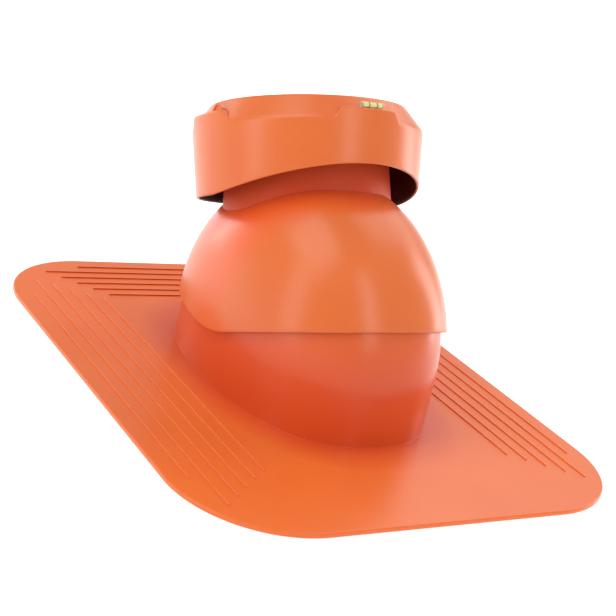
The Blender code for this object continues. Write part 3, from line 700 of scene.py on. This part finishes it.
def rain_cap(material):
    """The cap from the middle of its top, down its outside, round its rim and up its inside to the middle.

    The top is a shallow dish, h = top + crown (1 - (r / R)^2). The ledge on each tab narrows to nothing
    where the shoulder runs straight into the wall, and one rounded corner follows both.
    """
    angle = cap_angles()
    slope = math.atan2(CAP_SHOULDER_RADIUS - CAP_TOP_RADIUS, CAP_TOP_HEIGHT - CAP_SHOULDER_HEIGHT)
    down_shoulder = np.array([math.sin(slope), -math.cos(slope)])
    dish = CAP_TOP_RADIUS - CAP_EDGE_ROUND
    rows = [stack(radius, CAP_TOP_HEIGHT + CAP_CROWN * (1 - (radius / CAP_TOP_RADIUS) ** 2))
            for radius in dish * DISH_SHARES]
    edge = stack(CAP_TOP_RADIUS, CAP_TOP_HEIGHT)
    edge_start = stack(dish, CAP_TOP_HEIGHT + CAP_CROWN * (1 - (dish / CAP_TOP_RADIUS) ** 2))
    rows += blend(edge_start, edge, edge + down_shoulder * CAP_EDGE_ROUND, CAP_EDGE_STEPS)

    height = tab_height(angle)
    foot = stack(shoulder_radius(height), height)
    corner = stack(wall_radius(height), height)
    ledge = np.linalg.norm(corner - foot, axis=1)[:, None]
    over = np.maximum(CAP_CORNER_ROUND - ledge, 0)
    ledge_start = foot - down_shoulder * over
    inward = np.minimum(CAP_CORNER_ROUND, ledge)
    corner_start = np.where(over > 0, ledge_start, corner - stack(1, 0) * inward)
    low = rim_wave(angle)
    outer = stack(wall_radius(low), low)
    down_wall = unit(outer - corner)
    corner_end = corner + down_wall * CAP_CORNER_ROUND
    rows += span(rows[-1], ledge_start, inside(CAP_SHOULDER_ROWS))
    rows += [ledge_start, (ledge_start + corner_start) / 2]
    rows += blend(corner_start, corner, corner_end, CAP_CORNER_STEPS)
    rows += span(corner_end, outer - down_wall * 2 * CAP_RIM_ROUND, inside(CAP_WALL_ROWS))

    inner = stack(wall_radius(low) - CAP_WALL, low)
    inner_foot = stack(CAP_SHOULDER_RADIUS - CAP_WALL, CAP_SHOULDER_HEIGHT - CAP_WALL * math.tan(slope / 2))
    up_wall = unit(inner_foot - inner)
    rows += rounded_lip(outer, inner, -down_wall, up_wall, CAP_RIM_ROUND)
    under_edge = CAP_TOP_RADIUS - CAP_WALL * math.tan(math.pi / 4 - slope / 2)
    under_top = CAP_TOP_HEIGHT - CAP_WALL
    rows += span(inner + up_wall * 2 * CAP_RIM_ROUND, inner_foot, inside(CAP_LINING_ROWS)) + [inner_foot]
    rows += span(inner_foot, stack(under_edge, under_top), inside(CAP_SLOPE_ROWS))
    rows += [stack(radius, under_top + CAP_CROWN * (1 - (radius / under_edge) ** 2))
             for radius in under_edge * np.linspace(1, 0, CAP_CEILING_ROWS)]
    piece = grid_piece("rain_hood", around(angle, rows, CAP_TURN), "hood", material,
                       wrap=(False, True), sharp=35)
    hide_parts("rain_cap")


def slab(outline, centre, thickness, size):
    """A flat slab as rows of its outline: middle of one face, rounded edge, other face, its middle.

    The outline is drawn in towards the centre by size * (1 - sin t) while it goes through the thickness by
    size * (1 - cos t). Returns the two coordinates of the outline and the one across.
    """
    turn = np.linspace(0, math.pi / 2, SLAB_STEPS)
    inset = np.concatenate([size * (1 - np.sin(turn)), size * (1 - np.sin(turn[::-1]))])
    across = np.concatenate([size * (1 - np.cos(turn)), thickness - size * (1 - np.cos(turn[::-1]))])
    inset = np.concatenate([inset[:1], inset, inset[-1:]])
    across = np.concatenate([[0], across, [thickness]])
    inward = centre - outline
    rows = outline + unit(inward) * inset[:, None, None]
    rows[[0, -1]] = centre
    return rows, across[:, None] - thickness / 2


def dense(corners, spacing):
    """A closed outline with points at an even spacing along each straight side."""
    points = []
    for start, end in zip(corners, np.roll(corners, -1, axis=0)):
        count = max(2, math.ceil(np.linalg.norm(end - start) / spacing))
        points.append(start + (end - start) * np.linspace(0, 1, count, endpoint=False)[:, None])
    return np.concatenate(points)


def cap_fins(material):
    """Fins inside the cap that rest on the pipe's top and hook a little way into it."""
    seat = PIPE_TOP + SEAT_GAP
    hook = PIPE_TOP_RADIUS - PIPE_WALL - SEAT_GAP
    inner = PIPE_TOP_RADIUS - FIN_REACH
    sunk = CAP_WALL / 3
    outline = dense(np.array([(inner, seat - FIN_HOOK), (hook, seat - FIN_HOOK), (hook, seat),
                              (wall_radius(seat) - CAP_WALL + sunk, seat),
                              (CAP_SHOULDER_RADIUS - CAP_WALL + sunk, CAP_SHOULDER_HEIGHT),
                              (CAP_TOP_RADIUS, CAP_TOP_HEIGHT - CAP_WALL + sunk),
                              (inner, CAP_TOP_HEIGHT - CAP_WALL + CAP_CROWN / 2 + sunk)]), FIN_SPACING)
    centre = np.array([hook - FIN_CENTRE_IN, seat + FIN_CENTRE_UP])
    rows, across = slab(outline, centre, FIN_THICKNESS, FIN_ROUND)
    turn = math.tau * (np.arange(FIN_COUNT) + 0.5)[:, None, None] / FIN_COUNT + CAP_TURN
    out = rows[None, ..., 0]
    x = out * np.cos(turn) - across * np.sin(turn)
    y = out * np.sin(turn) + across * np.cos(turn)
    grid_piece("cap_fins", lean(stack(x, y, rows[None, ..., 1])), "hood", material,
               wrap=(False, True))


def mark_frame(angle, along, out, height):
    """Points on a tab in the model's frame: an angle about the cap's axis, then along, out and up."""
    turn = angle + CAP_TURN
    x = along * math.cos(turn) + out * math.sin(turn)
    y = along * math.sin(turn) - out * math.cos(turn)
    return lean(stack(x, y, height))


def pointers(material):
    """A gabled lug on each side tab, with a hollow of the same outline sunk into its outer face.

    Rows shrink the outline towards a centre low in the gable, each by a scale, and lie at a depth: the
    hollow's floor, its wall, the rounded rim round it, the lug's sides and its inner face.
    """
    half = POINTER_WIDTH / 2
    top = POINTER_TOP_WIDTH / 2
    foot = -CAP_WALL / 2
    corners = np.array([(-half, foot), (half, foot), (half, POINTER_EAVE), (top, POINTER_HEIGHT),
                        (-top, POINTER_HEIGHT), (-half, POINTER_EAVE)])
    outline = dense(corners, POINTER_SPACING)
    centre = np.array([0, POINTER_EAVE])
    scale, depth = np.array(POINTER_ROWS).T[..., None]
    out = CAP_SHOULDER_RADIUS - 2 * SEAT_GAP - depth
    rows = centre + (outline - centre) * scale[..., None]
    aside = math.asin(POINTER_OFFSET / CAP_SHOULDER_RADIUS)
    both = [mark_frame(turn * math.pi / 2 + aside, rows[..., 0], out, TAB_HEIGHT + rows[..., 1])
            for turn in (1, 3)]
    grid_piece("pointers", np.array(both), "hood", material,
               wrap=(False, True), sharp=50)


def vial_part(name, profile, material, lift=0):
    """A turned part on the vial's axis from rows of (place along, radius); lift moves it up the tube."""
    turn = np.linspace(0, math.tau, VIAL_COLUMNS, endpoint=False)
    place, radius = np.array(profile).T[..., None]
    out = CAP_SHOULDER_RADIUS - VIAL_RADIUS - SEAT_GAP
    height = TAB_HEIGHT + SEAT_GAP + VIAL_RADIUS + lift
    points = mark_frame(0, place + VIAL_OFFSET, out + radius * np.cos(turn), height + radius * np.sin(turn))
    return grid_piece(name, points, "hood", material, wrap=(False, True))


def rounded_bar(low, high, radius, size):
    """(place, radius) pairs of a bar with rounded ends: quarter circles of a size, closed on the axis."""
    turn = np.linspace(0, math.pi / 2, BAR_STEPS)
    first = np.stack([low + size * (1 - np.sin(turn)), radius - size * (1 - np.cos(turn))], axis=1)[::-1]
    last = np.stack([high - size * (1 - np.sin(turn)), radius - size * (1 - np.cos(turn))], axis=1)
    return np.concatenate([[[low, 0]], first, last, [[high, 0]]])


def level_vial(clear, liquid, air, dark):
    """The bubble level: a clear tube, the liquid in it, its bubble, two marking rings and two end plugs."""
    half = VIAL_LENGTH / 2
    skin = VIAL_RADIUS - VIAL_SKIN
    tube = vial_part("vial_tube", rounded_bar(-half, half, skin, VIAL_END_ROUND), clear)
    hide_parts("level_vial")
    fill = half - PLUG_LENGTH - LIQUID_GAP
    vial_part("vial_liquid", rounded_bar(-fill, fill, VIAL_BORE, LIQUID_ROUND), liquid)
    bubble = rounded_bar(-BUBBLE_LENGTH / 2, BUBBLE_LENGTH / 2, BUBBLE_RADIUS, BUBBLE_ROUND)
    vial_part("vial_bubble", bubble, air, lift=BUBBLE_LIFT)
    for side, label in ((-1, "left"), (1, "right")):
        low, high = side * RING_PLACE - RING_WIDTH / 2, side * RING_PLACE + RING_WIDTH / 2
        ring = rounded_bar(low, high, VIAL_RADIUS - RING_SKIN, RING_ROUND)
        vial_part("vial_ring_" + label, ring, dark)
        end = half - PLUG_INSET
        low, high = sorted((side * end, side * (end - PLUG_LENGTH)))
        vial_part("vial_plug_" + label, rounded_bar(low, high, VIAL_BORE, PLUG_ROUND), dark)


def srgb(colour):
    """A colour given as 0 to 255, as the linear values that shaders take.

    A share c is c / 12.92 up to 0.04045, and ((c + 0.055) / 1.055)^2.4 over that.
    """
    share = np.array(colour) / 255
    return (*np.where(share < 0.04045, share / 12.92, ((share + 0.055) / 1.055) ** 2.4).tolist(), 1)


def new_material(name):
    """A material with nodes; returns it, its tree and its shader."""
    material = bpy.data.materials.new(name)
    material.use_nodes = True
    return material, material.node_tree, material.node_tree.nodes["Principled BSDF"]


def coordinates(tree, kind="Object"):
    """One kind of texture coordinates."""
    return tree.nodes.new("ShaderNodeTexCoord").outputs[kind]


def axes_of(tree, vector):
    """The three parts of a vector output, by their axis."""
    node = tree.nodes.new("ShaderNodeSeparateXYZ")
    tree.links.new(vector, node.inputs["Vector"])
    return node.outputs


def math_node(tree, operation, first, second=0):
    """One step of arithmetic on two values, each a number or an output."""
    node = tree.nodes.new("ShaderNodeMath")
    node.operation = operation
    for socket, value in zip(node.inputs, (first, second)):
        if isinstance(value, (int, float)):
            socket.default_value = value
        else:
            tree.links.new(value, socket)
    return node.outputs["Value"]


def eased(tree, value, start, end, low=0, high=1):
    """From low up to start to high from end, and a straight run between."""
    node = tree.nodes.new("ShaderNodeMapRange")
    for name, bound in (("From Min", start), ("From Max", end), ("To Min", low), ("To Max", high)):
        node.inputs[name].default_value = bound
    tree.links.new(value, node.inputs["Value"])
    return node.outputs["Result"]


def noise(tree, scale, detail):
    """Noise on Object coordinates, scale in patches per metre."""
    texture = tree.nodes.new("ShaderNodeTexNoise")
    texture.inputs["Scale"].default_value = scale
    texture.inputs["Detail"].default_value = detail
    tree.links.new(coordinates(tree), texture.inputs["Vector"])
    return texture.outputs["Fac"]


def drifting(tree, value, colours):
    """A colour that a noise's middle range carries from the first of a pair to the second."""
    ramp = tree.nodes.new("ShaderNodeValToRGB")
    for stop, position, colour in zip(ramp.color_ramp.elements, (NOISE_LOW, NOISE_HIGH), colours):
        stop.position = position
        stop.color = srgb(colour)
    tree.links.new(value, ramp.inputs["Fac"])
    return ramp.outputs["Color"]


def between(tree, share, first, second):
    """Two colour outputs mixed by a share."""
    node = tree.nodes.new("ShaderNodeMix")
    node.data_type = "RGBA"
    tree.links.new(share, node.inputs["Factor"])
    for socket, colour in zip(MIX_COLOURS, (first, second)):
        tree.links.new(colour, node.inputs[socket])
    return node.outputs[MIX_RESULT]


def uneven_gloss(tree, shader, scale, detail, roughness):
    """Roughness that a noise's middle range carries from low to high."""
    rough = eased(tree, noise(tree, scale, detail), NOISE_LOW, NOISE_HIGH, *roughness)
    tree.links.new(rough, shader.inputs["Roughness"])


def fine_skin(tree, shader):
    """Fine relief like orange peel."""
    node = tree.nodes.new("ShaderNodeBump")
    node.inputs["Strength"].default_value = 1
    node.inputs["Distance"].default_value = SKIN_DEPTH
    tree.links.new(noise(tree, *SKIN_NOISE), node.inputs["Height"])
    tree.links.new(node.outputs["Normal"], shader.inputs["Normal"])


def hood_place(tree):
    """Radius about the pipe's axis and height along it, from Object coordinates turned upright."""
    turned = tree.nodes.new("ShaderNodeMapping")
    turned.inputs["Location"].default_value = (0, AXIS_HEIGHT * math.sin(HOOD_LEAN),
                                               -AXIS_HEIGHT * math.cos(HOOD_LEAN))
    turned.inputs["Rotation"].default_value = (HOOD_LEAN, 0, 0)
    tree.links.new(coordinates(tree), turned.inputs["Vector"])
    axes = axes_of(tree, turned.outputs["Vector"])
    squares = [math_node(tree, "MULTIPLY", axes[axis], axes[axis]) for axis in ("X", "Y")]
    return math_node(tree, "SQRT", math_node(tree, "ADD", *squares)), axes["Z"]


def foot_nearness(tree):
    """The value (|x| / a)^n + (|y| / b)^n of the fixed dome's outline, one at its foot, and the height."""
    axes = axes_of(tree, coordinates(tree))
    shares = []
    for axis, reach in (("X", DOME_HALF_LENGTH), ("Y", DOME_RADIUS)):
        size = math_node(tree, "ABSOLUTE", axes[axis])
        shares.append(math_node(tree, "POWER", math_node(tree, "DIVIDE", size, reach), DOME_POWER))
    return math_node(tree, "ADD", *shares), axes["Z"]


def part_colour(tree, part):
    """The plastic's colour on a part.

    Painted shade: the fixed dome under the other, low down, and the flange round its foot, the collar round
    the pipe, the pipe and fins, the long faces of the ridge's ribs and the cap's lining get less light from
    around, and are painted a deeper colour; round the collar it is redder too, for painted bounce light.
    Painted light: the rest of the flange is a lighter copy of the plastic, and the ribs a paler one.
    """
    drift = noise(tree, *DRIFT_NOISE)

    def colour(pair):
        """A pair of colours with the part's one drift between them."""
        return drifting(tree, drift, pair)

    if part == "pipe":
        # Painted shade: the pipe and the fins in the deeper copy
        return colour(PIPE_SHADE_COLOURS)
    if part == "flashing":
        # Painted shade on the fixed dome low down and on the flange round its foot; the rest of the flange is
        # the lighter copy, as painted light
        near, height = foot_nearness(tree)
        dome = between(tree, eased(tree, height, *DOME_SHADE_RUN), colour(SHADED_COLOURS),
                       colour(PLASTIC_COLOURS))
        return between(tree, eased(tree, near, *FOOT_SHADE_RUN), dome, colour(FLANGE_LIT_COLOURS))
    if part == "ribs":
        # Painted shade on the long faces of the ribs near the ridge
        slope = math_node(tree, "ABSOLUTE", axes_of(tree, coordinates(tree, "Normal"))["Y"])
        near_ridge = eased(tree, axes_of(tree, coordinates(tree))["Y"], *RIDGE_RUN)
        faces_eave = math_node(tree, "MULTIPLY", eased(tree, slope, *RIB_FACE_RUN), near_ridge)
        # The rest of each rib in the paler copy, as painted highlight
        return between(tree, faces_eave, colour(RIB_LIT_COLOURS), colour(RIDGE_RIB_SHADE_COLOURS))
    if part == "dome":
        # Painted shade and red bounce light on the hood round the pipe, under the cap
        near = eased(tree, hood_place(tree)[0], *COLLAR_SHADE_RUN)
        return between(tree, near, colour(COLLAR_SHADE_COLOURS), colour(PLASTIC_COLOURS))
    if part == "cap":
        # Painted shade: the lining of the cap's wall below the shoulder in the nearly black copy
        radius, height = hood_place(tree)
        taper = (CAP_SHOULDER_RADIUS - CAP_RIM_RADIUS) / (CAP_SHOULDER_HEIGHT - CAP_RIM_LOW)
        wall = math_node(tree, "SUBTRACT", radius, math_node(tree, "MULTIPLY", height, taper))
        base = CAP_RIM_RADIUS - CAP_RIM_LOW * taper
        outer = eased(tree, wall, *(base - depth for depth in LINING_WALL_RUN))
        above = eased(tree, height, *(CAP_SHOULDER_HEIGHT - depth for depth in LINING_TOP_RUN))
        outside = math_node(tree, "MAXIMUM", outer, above)
        return between(tree, outside, colour(LINING_SHADE_COLOURS), colour(PLASTIC_COLOURS))
    return colour(PLASTIC_COLOURS)


def terracotta_plastic(name, part):
    """Satin moulded plastic: slow drifts of colour and gloss, and a fine skin.

    A surface seen edge on pales by its sheen, as moulded plastic does in soft light. The pipe is duller.
    """
    material, tree, shader = new_material(name)
    tree.links.new(part_colour(tree, part), shader.inputs["Base Color"])
    dull = part == "pipe"
    uneven_gloss(tree, shader, *GLOSS_NOISE, DULL_ROUGHNESS if dull else ROUGHNESS)
    shader.inputs["IOR"].default_value = DULL_INDEX if dull else PLASTIC_INDEX
    shader.inputs["Sheen Weight"].default_value = 0 if dull else SHEEN
    shader.inputs["Sheen Roughness"].default_value = SHEEN_ROUGHNESS
    shader.inputs["Sheen Tint"].default_value = srgb(SHEEN_TINT)
    fine_skin(tree, shader)
    return material


def vial_finish(name):
    """A finish of the bubble level, slightly uneven in colour and gloss.

    The tube is clear with a faint yellow, the liquid yellow-green, the bubble's skin bright and pale, and
    the rings and plugs dark green-brown.
    """
    colours, colour_scale, gloss_scale, roughness, index, opacity = VIAL_FINISHES[name]
    material, tree, shader = new_material(name)
    tint = drifting(tree, noise(tree, colour_scale, VIAL_DETAIL), colours)
    tree.links.new(tint, shader.inputs["Base Color"])
    uneven_gloss(tree, shader, gloss_scale, VIAL_DETAIL, roughness)
    shader.inputs["IOR"].default_value = index
    shader.inputs["Alpha"].default_value = opacity
    return material


def floor():
    """A wide, plain, nearly white floor, with a glow that grows towards the ridge edge's right end."""
    material, tree, shader = new_material("floor")
    shader.inputs["Base Color"].default_value = srgb(FLOOR_COLOUR)
    shader.inputs["Roughness"].default_value = FLOOR_ROUGHNESS
    shader.inputs["Specular IOR Level"].default_value = 0
    shader.inputs["Emission Color"].default_value = (1, 1, 1, 1)
    along = tree.nodes.new("ShaderNodeVectorMath")
    along.operation = "DOT_PRODUCT"
    along.inputs[1].default_value = FLOOR_GLOW_WAY
    tree.links.new(coordinates(tree), along.inputs[0])
    glow = eased(tree, along.outputs["Value"], *FLOOR_GLOW_RUN, FLOOR_GLOW_FRONT, FLOOR_GLOW_BACK)
    tree.links.new(glow, shader.inputs["Emission Strength"])
    mesh = bpy.data.meshes.new("floor")
    corners = [(x * FLOOR_HALF, y * FLOOR_HALF, -FLOOR_DROP) for x, y in ((-1, -1), (1, -1), (1, 1), (-1, 1))]
    mesh.from_pydata(corners, [], [(0, 1, 2, 3)])
    mesh.materials.append(material)
    add_object("floor", mesh)


def camera_axes():
    """Right, up and forward of the photograph's camera in the model's frame."""
    turn = Matrix.Rotation(-CAMERA_PITCH, 3, "X")
    right = Vector((math.cos(CAMERA_TURN), -math.sin(CAMERA_TURN), 0))
    forward = Vector((math.sin(CAMERA_TURN) * math.cos(CAMERA_RISE),
                      math.cos(CAMERA_TURN) * math.cos(CAMERA_RISE), math.sin(CAMERA_RISE)))
    return turn @ right, turn @ right.cross(forward), turn @ forward


def photo_camera():
    """The camera that was fitted to the photograph."""
    right, up, forward = camera_axes()
    data = bpy.data.cameras.new("photo camera")
    data.sensor_width = SENSOR
    data.lens = SENSOR * PHOTO_FOCAL / PHOTO_SIDE
    data.clip_end = CAMERA_REACH
    camera = add_object("photo camera", data)
    place = Matrix.Rotation(-CAMERA_PITCH, 3, "X") @ Vector(CAMERA_PLACE) + Vector((0, 0, FLANGE_THICKNESS))
    axes = Matrix((right, up, -forward)).transposed().to_4x4()
    camera.matrix_world = Matrix.Translation(place) @ axes
    bpy.context.scene.camera = camera


def soft_box(name, place, size, power):
    """An area light that faces the aim, placed by the camera's right, up and forward, in metres."""
    right, up, forward = camera_axes()
    aim = Vector(LIGHT_AIM)
    spot = aim + right * place[0] + up * place[1] + forward * place[2]
    data = bpy.data.lights.new(name, "AREA")
    data.shape = "RECTANGLE"
    data.size, data.size_y = size
    data.energy = power
    light = add_object(name, data)
    light.matrix_world = Matrix.Translation(spot) @ (spot - aim).to_track_quat("Z", "Y").to_matrix().to_4x4()


def studio():
    """White surroundings, brightest near the horizon, and soft boxes over, before and beside the part."""
    world = bpy.data.worlds.new("studio")
    world.use_nodes = True
    tree = world.node_tree
    sky = tree.nodes["Background"]
    sky.inputs["Color"].default_value = (1, 1, 1, 1)
    rise = axes_of(tree, coordinates(tree, "Generated"))["Z"]
    tree.links.new(eased(tree, rise, *SKY_RUN, SKY_LOW, SKY_HIGH), sky.inputs["Strength"])
    bpy.context.scene.world = world
    bpy.context.scene.view_settings.view_transform = "Standard"
    for box in SOFT_BOXES:
        soft_box(*box)


photo_camera()
studio()
floor()
flashing(terracotta_plastic("flashing plastic", "flashing"))
ribs(terracotta_plastic("rib plastic", "ribs"))
tilting_dome(terracotta_plastic("dome plastic", "dome"))
vent_pipe(terracotta_plastic("pipe plastic", "pipe"))
rain_cap(terracotta_plastic("cap plastic", "cap"))
cap_fins(terracotta_plastic("fin plastic", "pipe"))
pointers(terracotta_plastic("terracotta plastic", "pointers"))
level_vial(*(vial_finish(name) for name in VIAL_FINISHES))
